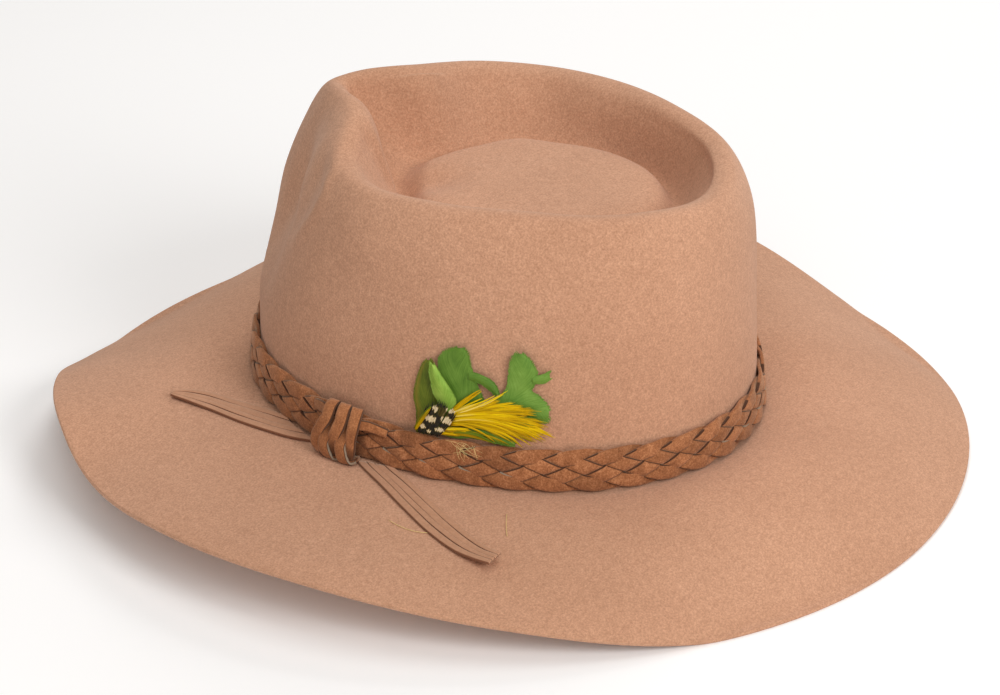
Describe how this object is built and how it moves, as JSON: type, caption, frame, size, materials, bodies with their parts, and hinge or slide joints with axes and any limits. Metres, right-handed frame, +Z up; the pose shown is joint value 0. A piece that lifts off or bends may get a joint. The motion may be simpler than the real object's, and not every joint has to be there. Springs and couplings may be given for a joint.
{
  "type": "bush hat",
  "caption": "Wide-brimmed felt bush hat with a pinched, hollow crown, a knotted braid band with loose thong ends, and dyed feathers at one side.",
  "frame": {"origin": "on the resting plane, under the middle of the hat's plan", "axes": "+Z up, as the hat lies on its brim; the front of the hat is -Y and the wearer's left, with the knot and the feathers, is +X"},
  "size_m": [0.3404, 0.3585, 0.1357],
  "materials": {
    "felt": "matte brushed felt",
    "braid": "suede, matte",
    "knot": "suede, matte",
    "thong": "flesh side, matte",
    "feather_dark_green": "matte barbs",
    "feather_green": "matte barbs",
    "feather_blue_green": "matte barbs",
    "feather_light_green": "matte barbs",
    "hackle_yellow": "glossy barbs",
    "tuft_spotted": "spotted barbs"
  },
  "bodies": {
    "root": {"felt_body": "felt", "braid_band": "braid", "band_knot": "knot", "front_tail_thong_1": "thong", "front_tail_thong_2": "thong", "front_tail_thong_3": "thong", "front_tail_thong_4": "thong", "rear_tail_thong_1": "thong", "rear_tail_thong_2": "thong", "rear_tail_thong_3": "thong", "rear_tail_thong_4": "thong", "green_vane_left": "feather_dark_green", "green_vane_tall": "feather_green", "green_vane_right": "feather_blue_green", "green_vane_curl": "feather_light_green", "yellow_hackle": "hackle_yellow", "spotted_tuft": "tuft_spotted"}
  },
  "joints": []
}
